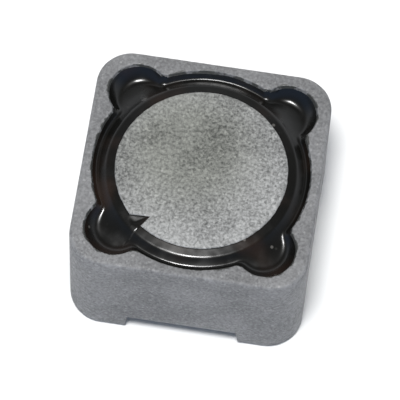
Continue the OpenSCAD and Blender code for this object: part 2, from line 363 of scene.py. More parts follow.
@dataclass
class RingCore:
    """The square ferrite ring around the winding."""

    corner_r: float = 1.8
    recess_w: float = 5.7
    recess_h: float = 1.0
    recess_edge: float = 0.16
    top_round: float = 0.2
    foot_round: float = 0.12
    mouth_round: float = 0.06
    bevel_h: float = 0.6
    unevenness: float = 0.018
    chip_depth: float = 0.12
    steps: tuple[int, int, int] = (10, 8, 34)
    corner_steps: int = 24
    straight_steps: int = 60
    mouth: Mouth = field(default_factory=Mouth)

    def __post_init__(self) -> None:
        """Takes the ring's place and size from the frame."""
        low, high = span("ring_core")
        self.half = high.x
        self.feet_z, self.top_z = low.z, high.z

    def stations(self, path: Sequence[Flat]) -> list[Flat]:
        """Spreads points over an eighth of an outline, so that all outlines match at the recess.

        Args:
            path: The eighth, from +X to the corner's diagonal.

        Returns:
            The placed points, with the last one on the diagonal.
        """
        cuts = [(self.recess_w - self.recess_edge) / 2, (self.recess_w + self.recess_edge) / 2]
        legs: list[list[Flat]] = [[path[0]]]
        for a, b in zip(path, path[1:]):
            while len(legs) <= len(cuts) and b[1] >= cuts[len(legs) - 1] > a[1]:
                share = (cuts[len(legs) - 1] - a[1]) / (b[1] - a[1])
                joint = (mix(a[0], b[0], share), cuts[len(legs) - 1])
                legs[-1].append(joint)
                legs.append([joint])
            legs[-1].append(b)
        placed = [point for leg, count in zip(legs, self.steps) for point in walk(leg, count)]
        return placed + [path[-1]]

    def all_round(self, eighth: Sequence[Flat]) -> list[Flat]:
        """Repeats an eighth of an outline, and its mirror image, around all four corners."""
        quarter = list(eighth) + [(y, x) for x, y in reversed(eighth[1:-1])]
        outline = []
        for turn in range(4):
            for x, y in quarter:
                outline.append([(x, y), (-y, x), (-x, -y), (y, -x)][turn])
        return outline

    def side_line(self, inset: float) -> list[Flat]:
        """The outer outline.

        Args:
            inset: How far inside the ring's sides it runs.

        Returns:
            Its points, matched to the mouth's.
        """
        half, r = self.half - inset, self.corner_r - inset
        middle = self.half - self.corner_r
        arc = [
            (middle + x, middle + y)
            for x, y in (polar(r, 45 * i / self.corner_steps)
                         for i in range(self.corner_steps + 1))
        ]
        straight = [(half, middle * i / self.straight_steps)
                    for i in range(self.straight_steps)]
        return self.all_round(self.stations(straight + arc))

    def mouth_line(self, level: float) -> list[Flat]:
        """The mouth's outline at a level outside it, matched to the outer one."""
        return self.all_round(self.stations(self.mouth.octant(level)))

    def recess_share(self) -> list[float]:
        """For each point of an outline, 1 over a recess and 0 over a corner foot."""
        inside, edge, foot = self.steps
        eighth = [1.0] * inside
        eighth += [1 - ease(i / edge) for i in range(edge)]
        eighth += [0.0] * (foot + 1)
        return (eighth + eighth[-2:0:-1]) * 4

    def chipped(self, point: Vector, reach: float) -> Vector:
        """Moves an edge point in towards the axis where the fired edge is uneven or chipped.

        Args:
            point: The point.
            reach: How strongly it is moved, from 0 to 1.

        Returns:
            The moved point.
        """
        rough = 0.5 + 0.5 * noise.noise(point * 1.7) + 0.35 * noise.noise(point * 6.1)
        chip = max(0.0, noise.noise(point * 2.3 + Vector((7.0, 3.0, 1.0))) - 0.42)
        shift = reach * (self.unevenness * max(0.0, rough) + self.chip_depth * chip)
        away = Vector((point.x, point.y, 0)).normalized()
        return point - away * shift

    def build(self) -> bpy.types.Object:
        """Builds the ring as one closed skin, from its feet over the top and down the bore."""
        shell = Shell()
        share = self.recess_share()
        bottom = [self.feet_z + self.recess_h * s for s in share]
        loops = []

        def add(outline: Sequence[Flat], heights: Sequence[float], wear: float,
                chips: float = 0.0, smear: float = 0.0) -> None:
            """Adds one loop with a height for each point."""
            points = [Vector((x, y, z)) for (x, y), z in zip(outline, heights)]
            loops.append(shell.loop([self.chipped(p, chips) for p in points], wear, smear))

        def level(z: float) -> list[float]:
            """The same height for each point."""
            return [z] * len(bottom)

        for turn_cos, turn_sin in quarter_turn(4):
            inset = self.foot_round * (1 - turn_sin)
            add(self.side_line(inset), [z + self.foot_round * (1 - turn_cos) for z in bottom],
                1.0, 0.8)
        wall_z = self.feet_z + self.recess_h + 3 * self.foot_round
        for i in range(6):
            z = mix(wall_z, self.top_z - self.top_round, i / 5)
            add(self.side_line(0), level(z), 0.0, 0.3)
        for turn_cos, turn_sin in quarter_turn(6):
            add(self.side_line(self.top_round * (1 - turn_cos)),
                level(self.top_z - self.top_round * (1 - turn_sin)), turn_sin * turn_cos * 2, 1.0)
        outer = self.side_line(self.top_round)
        rim = self.mouth_line(self.mouth.bevel + self.mouth_round)
        for i in range(1, 5):
            line = [(mix(a[0], b[0], i / 5), mix(a[1], b[1], i / 5))
                    for a, b in zip(outer, rim)]
            add(line, level(self.top_z), 0.0)
        for turn_cos, turn_sin in quarter_turn(3):
            add(self.mouth_line(self.mouth.bevel + self.mouth_round * (1 - turn_sin)),
                level(self.top_z - self.mouth_round * (1 - turn_cos)), 0.3,
                smear=mix(0.45, 0.7, turn_sin))
        for i in range(1, 5):
            add(self.mouth_line(self.mouth.bevel * (1 - i / 4)),
                level(self.top_z - mix(self.mouth_round, self.bevel_h, i / 4)), 0.0,
                smear=min(1.0, 0.7 + i / 8))
        add(self.mouth_line(0), level(wall_z), 0.0)
        for turn_cos, turn_sin in quarter_turn(3):
            add(self.mouth_line(self.foot_round * (1 - turn_cos)),
                [z + self.foot_round * (1 - turn_sin) for z in bottom], turn_sin)
        shell.skin(loops, round_trip=True)
        return shell.piece("ring_core_body", "ring_core", "ring_ferrite")


# ---------------------------------------------------------------- the drum core


@dataclass(frozen=True)
class Notch:
    """The wedge that is missing from the upper flange's edge."""

    at: float = 234.0
    depth: float = 0.68
    opens: float = 209.0
    angle: float = 54.0

    def apex(self, rim_r: float) -> Vector:
        """The wedge's inner end, for a flange of that radius."""
        return Vector(polar(rim_r - self.depth, self.at))

    def inside(self, x: float, y: float, rim_r: float) -> float:
        """How far a point lies inside the wedge, or below 0 outside it."""
        away = Vector((x, y)) - self.apex(rim_r)
        nearest = math.inf
        for side in (-1, 1):
            turn = math.radians(self.opens + side * self.angle / 2)
            normal = Vector((math.sin(turn), -math.cos(turn))) * side
            nearest = min(nearest, away.dot(normal))
        return nearest

    def side_end(self, side: int, rim_r: float) -> float:
        """The direction in degrees in which a side of the wedge meets the flange's rim."""
        apex = self.apex(rim_r)
        along = Vector(polar(1.0, self.opens + side * self.angle / 2))
        half = apex.dot(along)
        reach = -half + math.sqrt(half * half + rim_r * rim_r - apex.length_squared)
        end = apex + along * reach
        return math.degrees(math.atan2(end.y, end.x)) % 360


@dataclass
class DrumCore:
    """The ferrite drum: a post between a notched upper and a wider lower flange."""

    top_r: float = 4.37
    flange_t: float = 1.1
    post_r: float = 2.4
    rim_round: float = 0.1
    arc_steps: int = 260
    side_steps: int = 10
    top_rings: tuple[float, ...] = (0.12, 0.3, 0.5, 0.7, 0.85, 0.93)
    base_rings: tuple[float, ...] = (0.8, 0.5, 0.2)
    notch: Notch = field(default_factory=Notch)

    def __post_init__(self) -> None:
        """Takes the drum's place and width from the frame."""
        low, high = span("drum_core")
        self.base_r = high.x
        self.base_z, self.top_z = low.z, high.z

    def rim_line(self) -> list[Flat]:
        """The upper flange's outline with its notch, counter-clockwise."""
        start = self.notch.side_end(1, self.top_r)
        end = self.notch.side_end(-1, self.top_r) + 360
        apex = self.notch.apex(self.top_r)
        line = [polar(self.top_r, mix(start, end, i / self.arc_steps))
                for i in range(self.arc_steps)]
        for first, last in ((polar(self.top_r, end), apex), (apex, polar(self.top_r, start))):
            line += [(mix(first[0], last[0], i / self.side_steps),
                      mix(first[1], last[1], i / self.side_steps))
                     for i in range(self.side_steps)]
        return line

    def round_line(self, radius: float) -> list[Flat]:
        """A circle with a point in the direction of each of the rim's points."""
        line = []
        for x, y in self.rim_line():
            reach = radius / math.hypot(x, y)
            line.append((x * reach, y * reach))
        return line

    def build(self) -> bpy.types.Object:
        """Builds the drum as one closed skin, from the middle of its top to that of its base."""
        shell = Shell()
        rim = self.rim_line()
        r = self.rim_round
        loops = []
        for share in self.top_rings:
            line = [(x * share, y * share) for x, y in offset(rim, r)]
            loops.append(shell.loop(at_height(line, self.top_z)))
        for turn_cos, turn_sin in quarter_turn(4):
            points = at_height(offset(rim, r * (1 - turn_sin)), self.top_z - r * (1 - turn_cos))
            uneven = [p - Vector((p.x, p.y, 0)).normalized()
                      * max(0.0, 0.03 * noise.noise(p * 2.9) + 0.02 * noise.noise(p * 9.0))
                      for p in points]
            loops.append(shell.loop(uneven, turn_cos * turn_sin * 2))
        under_z = self.top_z - self.flange_t
        window_z = self.base_z + self.flange_t
        loops.append(shell.loop(at_height(rim, under_z)))
        loops.append(shell.loop(at_height(self.round_line(self.post_r), under_z)))
        loops.append(shell.loop(at_height(self.round_line(self.post_r), window_z)))
        for turn_cos, turn_sin in quarter_turn(3):
            loops.append(shell.loop(at_height(
                self.round_line(self.base_r - r * (1 - turn_sin)),
                window_z - r * (1 - turn_cos)), 0.4))
        for turn_cos, turn_sin in quarter_turn(4):
            loops.append(shell.loop(at_height(
                self.round_line(self.base_r - r * (1 - turn_cos)),
                self.base_z + r * (1 - turn_sin)), 1.0))
        for share in self.base_rings:
            loops.append(shell.loop(at_height(self.round_line(self.base_r * share),
                                              self.base_z)))
        shell.skin(loops)
        shell.fan(loops[0], Vector((0, 0, self.top_z)))
        shell.fan(loops[-1], Vector((0, 0, self.base_z)))
        return shell.piece("drum_core_body", "drum_core", "drum_ferrite")


# ---------------------------------------------------------------- the top adhesive


@dataclass
class TopAdhesive:
    """The black epoxy between drum and ring, drawn down in the gap and into the pockets."""

    drum: DrumCore
    ring: RingCore
    rim_drop: float = 0.05
    tuck: float = 0.04
    shelf_w: float = 0.42
    shelf_fall: float = 0.08
    shelf_dip: float = 0.78
    shelf_reach: float = 1.05
    shelf_round: float = 0.05
    wall_dip: float = 0.94
    wall_reach: float = 0.58
    valley_round: float = 0.14
    ripple: float = 0.01
    around: int = 720
    across: int = 30

    def __post_init__(self) -> None:
        """Takes the adhesive's underside from the frame."""
        self.base_z = span("top_adhesive")[0].z

    def from_flange(self, x: float, y: float) -> float:
        """How far a point lies from the upper flange, the notch's sides included."""
        rim = math.hypot(x, y) - self.drum.top_r
        fade = 1 - ease(rim / self.shelf_w)
        return max(rim, self.drum.notch.inside(x, y, self.drum.top_r) * fade)

    def rim_radius(self, degrees: float) -> float:
        """The upper flange's radius in a direction, less at the notch."""
        low, high = self.drum.top_r - self.drum.notch.depth - 0.3, self.drum.top_r
        if self.from_flange(*polar(high - 1e-4, degrees)) < 0:
            return high
        return crossing(low, high, 14,
                        lambda reach: self.from_flange(*polar(reach, degrees)) > 0)

    def depth(self, x: float, y: float) -> float:
        """How far the adhesive's surface hangs below the disc's top at a point.

        Args:
            x: The point's place along X.
            y: Its place along Y.

        Returns:
            The depth, without ripples.
        """
        out = max(0.0, self.from_flange(x, y))
        back = max(0.0, self.ring.mouth.bevel - self.ring.mouth.distance(x, y))
        past = -smooth_min(0.0, self.shelf_w - out, self.shelf_round)
        shelf = self.shelf_fall * min(1.0, out / self.shelf_w)
        inner = shelf + self.shelf_dip * (1 - math.exp(-past / self.shelf_reach))
        outer = self.wall_dip * (1 - math.exp(-back / self.wall_reach))
        return self.rim_drop + smooth_min(inner, outer, self.valley_round)

    def surface(self, x: float, y: float) -> float:
        """The height of the adhesive's surface at a point, with its faint ripples."""
        ripple = noise.noise(Vector((x, y, 0)) * 0.9) + 0.4 * noise.noise(Vector((x, y, 5)) * 2.4)
        height = self.drum.top_z - self.depth(x, y) + self.ripple * ripple
        return min(height, self.drum.top_z - self.rim_drop / 2)

    def build(self) -> bpy.types.Object:
        """Builds the adhesive as a ring whose top is the drawn-down surface."""
        shell = Shell()
        inner_edge, outer_edge = [], []
        for i in range(self.around):
            degrees = 360 * i / self.around
            wetted = 0.02 + 0.012 * noise.noise(Vector((*polar(2.2, degrees), 0)))
            inner_edge.append((self.rim_radius(degrees) - self.tuck, degrees))
            outer_edge.append((self.ring.mouth.radius(degrees, self.ring.mouth.bevel + wetted),
                               degrees))
        loops = []
        for step in range(self.across + 1):
            share = step / self.across
            points = []
            for (inner_r, degrees), (outer_r, _) in zip(inner_edge, outer_edge):
                x, y = polar(mix(inner_r, outer_r, share), degrees)
                points.append(Vector((x, y, self.surface(x, y))))
            loops.append(shell.loop(points))
        bore = [polar(self.ring.mouth.radius(degrees, 0.0), degrees) for _, degrees in outer_edge]
        loops.append(shell.loop(at_height(bore, self.ring.top_z - self.ring.bevel_h)))
        loops.append(shell.loop(at_height(bore, self.base_z)))
        loops.append(shell.loop(at_height((polar(*edge) for edge in inner_edge), self.base_z)))
        shell.skin(loops, round_trip=True)
        return shell.piece("top_adhesive_fill", "top_adhesive", "black_epoxy")


# ---------------------------------------------------------------- winding and terminals


@dataclass
class Winding:
    """The enamelled wire on the drum's post, and its two ends."""

    drum: DrumCore
    wire_r: float = 0.25
    gap: float = 0.03
    turns: int = 8
    layer_r: float = 3.949
    lead_edge: float = 4.89
    joint_z: float = 0.45
    leave_turn: float = 4.0
    leave_step: float = 1.2
    drop_from: float = 0.4
    drop_to: float = 0.35
    across: float = 0.6
    turn_h: float = 0.12
    turn_from: float = 0.1
    turn_to: float = 0.38
    tail: float = 0.55
    tail_l: float = 0.4
    ends: tuple[float, float] = (45.0, 225.0)
    coil_lead: float = 40.0
    sway: float = 0.012
    dome: float = 0.72
    sides: int = 14
    turn_steps: int = 72

    def __post_init__(self) -> None:
        """Takes the winding's heights from the drum."""
        window_z = self.drum.base_z + self.drum.flange_t
        window_h = self.drum.top_z - self.drum.flange_t - window_z
        self.window_z = window_z
        self.first_z = window_z + (window_h - self.turns * 2 * self.wire_r) / 2 + self.wire_r

    def lead_points(self) -> list[Vector]:
        """The route of a wire end whose pocket lies along +X, from the winding to its tip."""
        drop_x = self.drum.base_r + self.wire_r + 4 * self.gap
        joint_x = self.lead_edge + self.wire_r + self.gap
        leave_z = self.first_z + self.wire_r
        over_z = self.window_z + self.wire_r + 2 * self.gap
        turned = math.acos(self.layer_r / drop_x) + math.radians(self.leave_turn)
        leave = Vector((math.cos(turned), -math.sin(turned), 0)) * self.layer_r
        along = Vector((math.sin(turned), math.cos(turned), 0)) * self.leave_step
        lift = Vector((0, 0, leave_z))
        return [
            leave + lift,
            leave + along + lift,
            leave + along * 2 + Vector((0, 0, (leave_z + over_z) / 2)),
            Vector((drop_x, 0, over_z)),
            Vector((drop_x, self.across * 2 / 3, self.window_z - self.drop_from)),
            Vector((drop_x, self.across, self.drum.base_z + self.drop_to)),
            Vector((joint_x, self.across - self.turn_from, self.joint_z + self.turn_h)),
            Vector((joint_x, self.across - self.turn_to, self.joint_z)),
            Vector((joint_x, self.tail_l - self.tail, self.joint_z)),
            Vector((joint_x, -self.tail, self.joint_z)),
        ]

    def tube(self, shell: Shell, path: Sequence[Vector]) -> None:
        """Adds a round wire along a path, with domed ends.

        Args:
            shell: The mesh it is added to.
            path: The wire's middle line.
        """
        side = Vector((0, 0, 1))
        rings = []
        last = len(path) - 1
        for i, point in enumerate(path):
            heading = (path[min(i + 1, last)] - path[max(i - 1, 0)]).normalized()
            side = (side - heading * side.dot(heading)).normalized()
            other = heading.cross(side)
            radius = self.wire_r * (self.dome if i in (0, last) else 1.0)
            turns = [math.tau * k / self.sides for k in range(self.sides)]
            rings.append(shell.loop(
                point + (side * math.cos(turn) + other * math.sin(turn)) * radius
                for turn in turns))
        shell.skin(rings)
        shell.fan(rings[0], path[0])
        shell.fan(rings[-1], path[-1])

    def build(self) -> bpy.types.Object:
        """Builds the outer layer's turns over the hidden layers, and both wire ends."""
        shell = Shell()
        inner_r = self.layer_r - self.wire_r
        steps = self.turns * self.turn_steps
        coil = []
        for i in range(steps + 1):
            share = i / steps
            z = mix(self.first_z, self.first_z + (self.turns - 1) * 2 * self.wire_r, share)
            sway = self.sway * noise.noise(Vector((share * 30, 0, 0)))
            x, y = polar(self.layer_r + sway,
                         self.ends[1] - self.coil_lead + 360 * self.turns * share)
            coil.append(Vector((x, y, z)))
        self.tube(shell, coil)
        for end in self.ends:
            turn = Matrix.Rotation(math.radians(end), 3, "Z")
            route = [turn @ point for point in self.lead_points()]
            self.tube(shell, curve_through(route, 7))
        top_z = self.first_z + (2 * self.turns - 1) * self.wire_r
        profile = [(self.drum.post_r, self.first_z - self.wire_r),
                   (inner_r + 0.12, self.first_z - self.wire_r), (inner_r + 0.12, top_z),
                   (self.drum.post_r, top_z)]
        layers = []
        for radius, z in profile:
            circle = [polar(radius, 360 * i / 96) for i in range(96)]
            layers.append(shell.loop(at_height(circle, z)))
        shell.skin(layers, round_trip=True)
        return shell.piece("winding_wire", "winding", "enamelled_wire")


@dataclass
class Terminal:
    """One sheet terminal: a half-round plate under the drum, a land, and a turned-up end."""

    side: int = 1
    sheet_t: float = 0.2
    bore_r: float = 5.25
    plate_end: float = 5.0
    bite_w: float = 1.7
    bite_depth: float = 1.07
    notch_at: float = 1.9
    notch_depth: float = 0.55
    notch_w: float = 0.26
    notch_flare: float = 0.8
    lead_edge: float = 4.89
    lead_in: float = 0.51
    lead_out: float = 0.29
    fold_at: float = 3.9
    fold_l: float = 0.2
    tongue_root: float = 0.3
    root_notch_l: float = 0.18
    root_notch_w: float = 0.2
    tongue_w: float = 5.0
    plate_z: float = 0.35
    bend_r: float = 0.32
    hole: tuple[float, float, float] = (4.6, 5.4, 1.0)
    cut_round: float = 0.035

    def __post_init__(self) -> None:
        """Takes the sheet's ends from the frame."""
        low, high = span("terminal_right")
        self.inner_x, self.outer_x, self.lip_top = low.x, high.x, high.z

    def bend_line(self) -> list[Flat]:
        """The sheet's middle line, outwards and upwards, from the fold's start to the lip."""
        half = self.sheet_t / 2
        plate, land = self.plate_z + half, half
        line = []
        for i in range(9):
            share = i / 8
            line.append((mix(self.fold_at - 0.08, self.fold_at + self.fold_l + 0.08, share),
                         mix(plate, land, ease(share))))
        bend_x, mid_r = self.outer_x - self.bend_r, self.bend_r - half
        for i in range(9):
            x, z = polar(mid_r, -90 + 90 * i / 8)
            line.append((bend_x + x, self.bend_r + z))
        line.append((bend_x + mid_r, self.lip_top))
        return line

    def lay_out(self) -> None:
        """Works out how long the sheet is, laid flat, at each point of its middle line."""
        line = self.bend_line()
        self.line = [(self.inner_x, self.plate_z + self.sheet_t / 2)] + line
        self.lengths = [self.inner_x]
        for a, b in zip(self.line, self.line[1:]):
            self.lengths.append(self.lengths[-1] + math.dist(a, b))

    def fold(self, along: float, y: float, lift: float) -> Vector:
        """Bends a point of the flat sheet into place.

        Args:
            along: How far out the point lies on the flat sheet.
            y: Its place across the sheet.
            lift: Its height above the sheet's middle, from the underside up.

        Returns:
            The bent point.
        """
        leg = 0
        while leg < len(self.line) - 2 and self.lengths[leg + 1] < along - 1e-7:
            leg += 1
        a, b = Vector(self.line[leg]), Vector(self.line[leg + 1])
        share = (along - self.lengths[leg]) / (self.lengths[leg + 1] - self.lengths[leg])
        before = Vector(self.line[max(leg - 1, 0)])
        after = Vector(self.line[min(leg + 2, len(self.line) - 1)])
        here = (b - a).normalized()
        start = ((a - before).normalized() + here).normalized() if leg else here
        end = (here + (after - b).normalized()).normalized() if after != b else here
        heading = start.lerp(end, min(1.0, max(0.0, share))).normalized()
        middle = a.lerp(b, share)
        return Vector((middle.x - heading.y * lift, y, middle.y + heading.x * lift))

    def outline(self) -> list[Flat]:
        """The flat sheet's outline, counter-clockwise."""
        middle = self.lead_edge / math.sqrt(2)
        tip = (middle + self.lead_out, middle - self.lead_out)
        edge_from = (middle - self.lead_in, middle + self.lead_in)
        r = self.notch_w / 2
        notch_y = self.plate_end - self.notch_depth
        half = [(self.inner_x + self.bite_depth, 0.0),
                (self.inner_x + self.bite_depth, self.bite_w / 2),
                (self.inner_x, self.bite_w / 2), (self.inner_x, self.plate_end)]
        flat_to = math.sqrt(self.bore_r ** 2 - self.plate_end ** 2)
        half.append((flat_to, self.plate_end))
        notch_left = self.notch_at - r
        half.append((notch_left, math.sqrt(self.bore_r ** 2 - notch_left ** 2)))
        half += [(self.notch_at - r * math.cos(turn), notch_y - r * math.sin(turn))
                 for turn in (math.pi * i / 8 for i in range(9))]
        flare_x = self.notch_at + r
        reach = 0.0
        while math.hypot(flare_x + self.notch_flare * reach, notch_y + reach) < self.bore_r:
            reach += 0.002
        half.append((flare_x + self.notch_flare * reach, notch_y + reach))
        first = math.degrees(math.atan2(notch_y + reach, flare_x + self.notch_flare * reach))
        last = math.degrees(math.acos(edge_from[0] / self.bore_r))
        half += [polar(self.bore_r, mix(first, last, i / 6)) for i in range(1, 7)]
        half += [edge_from, tip]
        root = self.fold_at - self.tongue_root
        side = self.tongue_w / 2
        half += [(root - self.root_notch_l, side + self.root_notch_w), (root, side)]
        half += [(length, side) for length in self.lengths[1:]]
        return [(x, -y) for x, y in half] + list(reversed(half[1:]))

    def build(self) -> bpy.types.Object:
        """Builds the terminal from its flat sheet, folded into place."""
        self.lay_out()
        outline = self.outline()
        near, far, width = self.hole
        stretch = self.lengths[9] - self.line[9][0]
        hole = [(near + stretch, -width / 2), (near + stretch, width / 2),
                (far + stretch, width / 2), (far + stretch, -width / 2)]
        shell = Shell()
        half, r = self.sheet_t / 2, self.cut_round
        for lift in (-1, 1):
            tool = bmesh.new()
            edges = []
            for line in (outline, hole):
                verts = [tool.verts.new((x, y, 0)) for x, y in offset(line, r)]
                edges += [tool.edges.new((verts[i - 1], vert)) for i, vert in enumerate(verts)]
            bmesh.ops.triangle_fill(tool, edges=edges, use_beauty=True, use_dissolve=False)
            for cut in self.lengths[1:-1]:
                bmesh.ops.bisect_plane(tool, geom=tool.verts[:] + tool.edges[:] + tool.faces[:],
                                       plane_co=(cut, 0, 0), plane_no=(1, 0, 0), dist=1e-5)
            tool.verts.index_update()
            start = len(shell.points)
            shell.loop(self.fold(v.co.x, v.co.y, lift * half) for v in tool.verts)
            shell.faces += [tuple(start + v.index for v in face.verts) for face in tool.faces]
            tool.free()
        for line in (outline, hole):
            loops = []
            for lift in (-1, 1):
                turns = quarter_turn(3)
                for turn_cos, turn_sin in (turns if lift < 0 else turns[::-1]):
                    height = lift * (half - r * (1 - turn_cos))
                    points = [self.fold(x, y, height)
                              for x, y in offset(line, r * (1 - turn_sin))]
                    loops.append(shell.loop(points, 0.8))
            shell.skin(loops)
        if self.side < 0:
            shell.points = [Vector((-p.x, -p.y, p.z)) for p in shell.points]
        name = "right" if self.side > 0 else "left"
        return shell.piece(f"terminal_{name}_sheet", f"terminal_{name}", "tinned_sheet")


@dataclass
class SolderJoint:
    """The solder around a wire end and the slanting edge of its terminal."""

    winding: Winding
    end: float = 45.0
    name: str = "right"
    radius: float = 0.33
    start: float = -0.62
    stop: float = 0.0
    rings: int = 22
    sides: int = 28

    def build(self) -> bpy.types.Object:
        """Builds the joint as a slumped bead along the wire."""
        shell = Shell()
        joint_x = self.winding.lead_edge + self.winding.gap + self.winding.wire_r / 2
        turn = Matrix.Rotation(math.radians(self.end), 3, "Z")
        loops = []
        for i in range(1, self.rings):
            along = math.pi * i / self.rings
            y = mix(self.start, self.stop, (1 - math.cos(along)) / 2)
            swell = math.sin(along) ** 0.7
            points = []
            for k in range(self.sides):
                x, z = polar(self.radius * swell, 360 * k / self.sides)
                uneven = 1 + 0.06 * noise.noise(Vector((x, y, z)) * 4)
                points.append(turn @ Vector((joint_x + x * uneven, y,
                                             self.winding.joint_z + z * 0.96 * uneven)))
            loops.append(shell.loop(points))
        shell.skin(loops)
        for loop, y in ((loops[0], self.start), (loops[-1], self.stop)):
            shell.fan(loop, turn @ Vector((joint_x, y, self.winding.joint_z)))
        return shell.piece(f"solder_{self.name}_bead", f"solder_{self.name}", "solder")


# ---------------------------------------------------------------- finishes


class Wiring:
    """A node tree with short calls that place and link its nodes."""

    def __init__(self, tree: bpy.types.NodeTree) -> None:
        """Takes the tree that the nodes go into."""
        self.tree = tree

    def place(self, kind: str, values: dict[str | int, object] | None = None,
              **settings: object) -> bpy.types.Node:
        """Adds a node.

        Args:
            kind: The node's type, without "ShaderNode".
            values: What its inputs take: a socket is linked, and anything else is set.
            **settings: The node's own properties.

        Returns:
            The new node.
        """
        node = self.tree.nodes.new(f"ShaderNode{kind}")
        for name, value in settings.items():
            setattr(node, name, value)
        for key, value in (values or {}).items():
            if isinstance(value, bpy.types.NodeSocket):
                self.tree.links.new(value, node.inputs[key])
            else:
                node.inputs[key].default_value = value
        return node

    def math(self, operation: str, first: object, second: object = 0.0,
             clamp: bool = False) -> bpy.types.NodeSocket:
        """Adds a Math node and gives its result."""
        node = self.place("Math", {0: first, 1: second}, operation=operation, use_clamp=clamp)
        return node.outputs[0]

    def ramp(self, value: object, low: float, high: float, to_low: float = 0.0,
             to_high: float = 1.0) -> bpy.types.NodeSocket:
        """Maps a value smoothly from one range to another, and keeps it there."""
        node = self.place("MapRange", {0: value, 1: low, 2: high, 3: to_low, 4: to_high},
                          interpolation_type="SMOOTHSTEP")
        return node.outputs[0]

    def blend(self, share: object, first: object, second: object,
              how: str = "MIX") -> bpy.types.NodeSocket:
        """Mixes two colours by a share."""
        node = self.place("Mix", {0: share, 6: first, 7: second}, data_type="RGBA",
                          blend_type=how)
        return node.outputs[2]


@dataclass(frozen=True)
class Effect:
    """A node group that several finishes use."""

    name: str
    inputs: tuple[tuple[str, str, float | tuple[float, ...]], ...]
    outputs: tuple[tuple[str, str], ...]
    fill: Callable[[Wiring, dict[str, bpy.types.NodeSocket]], dict[str, bpy.types.NodeSocket]]

    def tree(self) -> bpy.types.NodeTree:
        """Gives the group's tree, and makes it the first time."""
        if self.name in bpy.data.node_groups:
            return bpy.data.node_groups[self.name]
        tree = bpy.data.node_groups.new(self.name, "ShaderNodeTree")
        for name, kind, value in self.inputs:
            socket = tree.interface.new_socket(name=name, in_out="INPUT",
                                               socket_type=f"NodeSocket{kind}")
            socket.default_value = value
        for name, kind in self.outputs:
            tree.interface.new_socket(name=name, in_out="OUTPUT",
                                      socket_type=f"NodeSocket{kind}")
        entry = tree.nodes.new("NodeGroupInput")
        made = self.fill(Wiring(tree), {name: entry.outputs[name] for name, *_ in self.inputs})
        way_out = tree.nodes.new("NodeGroupOutput")
        for name, socket in made.items():
            tree.links.new(socket, way_out.inputs[name])
        return tree

    def use(self, wires: Wiring, **values: object) -> dict[str, bpy.types.NodeSocket]:
        """Places the group in a material.

        Args:
            wires: The material's wiring.
            **values: What the group's inputs take.

        Returns:
            The group's outputs by name.
        """
        node = wires.place("Group", node_tree=self.tree())
        for name, value in values.items():
            if isinstance(value, bpy.types.NodeSocket):
                wires.tree.links.new(value, node.inputs[name])
            else:
                node.inputs[name].default_value = value
        return {name: node.outputs[name] for name, _ in self.outputs}


def fill_grain(wires: Wiring, given: dict[str, bpy.types.NodeSocket]
               ) -> dict[str, bpy.types.NodeSocket]:
    """Sintered grain: light and dark crystals over a slow drift of tone."""
    place = wires.place("TexCoord").outputs["Object"]
    scaled = wires.place("VectorMath", {0: place, "Scale": given["Per metre"]},
                         operation="SCALE").outputs[0]
    fine = wires.place("TexNoise", {"Vector": scaled, "Scale": 1.0, "Detail": 3.0,
                                    "Roughness": 0.7}).outputs[0]
    crystal = wires.place("TexVoronoi", {"Vector": scaled, "Scale": 1.3}).outputs["Color"]
    flake = wires.place("SeparateColor", {0: crystal}).outputs[0]
    drift = wires.place("TexNoise", {"Vector": scaled, "Scale": 0.045, "Detail": 2.0}).outputs[0]
    grain = wires.math("ADD", wires.math("MULTIPLY", wires.ramp(fine, 0.3, 0.7), 0.62),
                       wires.math("MULTIPLY", flake, 0.38))
    bright = wires.math("MULTIPLY", wires.ramp(flake, 0.93, 1.0), given["Sparkle"])
    tone = wires.math("ADD", grain, wires.math("MULTIPLY", wires.ramp(drift, 0.35, 0.65, -0.5, 0.5),
                                               given["Drift"]), clamp=True)
    colour = wires.blend(tone, given["Dark"], given["Light"])
    colour = wires.blend(bright, colour, (0.62, 0.62, 0.59, 1.0))
    return {"Color": colour, "Height": grain, "Tone": tone}


def fill_wear(wires: Wiring, given: dict[str, bpy.types.NodeSocket]
              ) -> dict[str, bpy.types.NodeSocket]:
    """Rubbed edges: the mesh's wear broken up by noise."""
    worn = wires.place("Attribute", attribute_name="wear").outputs["Fac"]
    place = wires.place("TexCoord").outputs["Object"]
    patch = wires.place("TexNoise", {"Vector": place, "Scale": given["Per metre"],
                                     "Detail": 4.0, "Roughness": 0.65}).outputs[0]
    mask = wires.math("MULTIPLY", worn, wires.ramp(patch, 0.4, 0.62))
    return {"Mask": wires.math("MULTIPLY", mask, given["Amount"], clamp=True)}


def fill_dust(wires: Wiring, given: dict[str, bpy.types.NodeSocket]
              ) -> dict[str, bpy.types.NodeSocket]:
    """Fine dust: sparse specks that lie on what faces up."""
    place = wires.place("TexCoord").outputs["Object"]
    specks = wires.place("TexVoronoi", {"Vector": place, "Scale": given["Per metre"]})
    pick = wires.place("SeparateColor", {0: specks.outputs["Color"]}).outputs[1]
    dot = wires.ramp(specks.outputs["Distance"], 0.28, 0.12)
    sparse = wires.math("MULTIPLY", dot, wires.ramp(pick, 0.9, 0.97))
    facing = wires.place("SeparateXYZ", {0: wires.place("NewGeometry").outputs["Normal"]})
    lying = wires.math("MULTIPLY", sparse, wires.ramp(facing.outputs[2], 0.3, 0.9))
    return {"Mask": wires.math("MULTIPLY", lying, given["Amount"], clamp=True)}


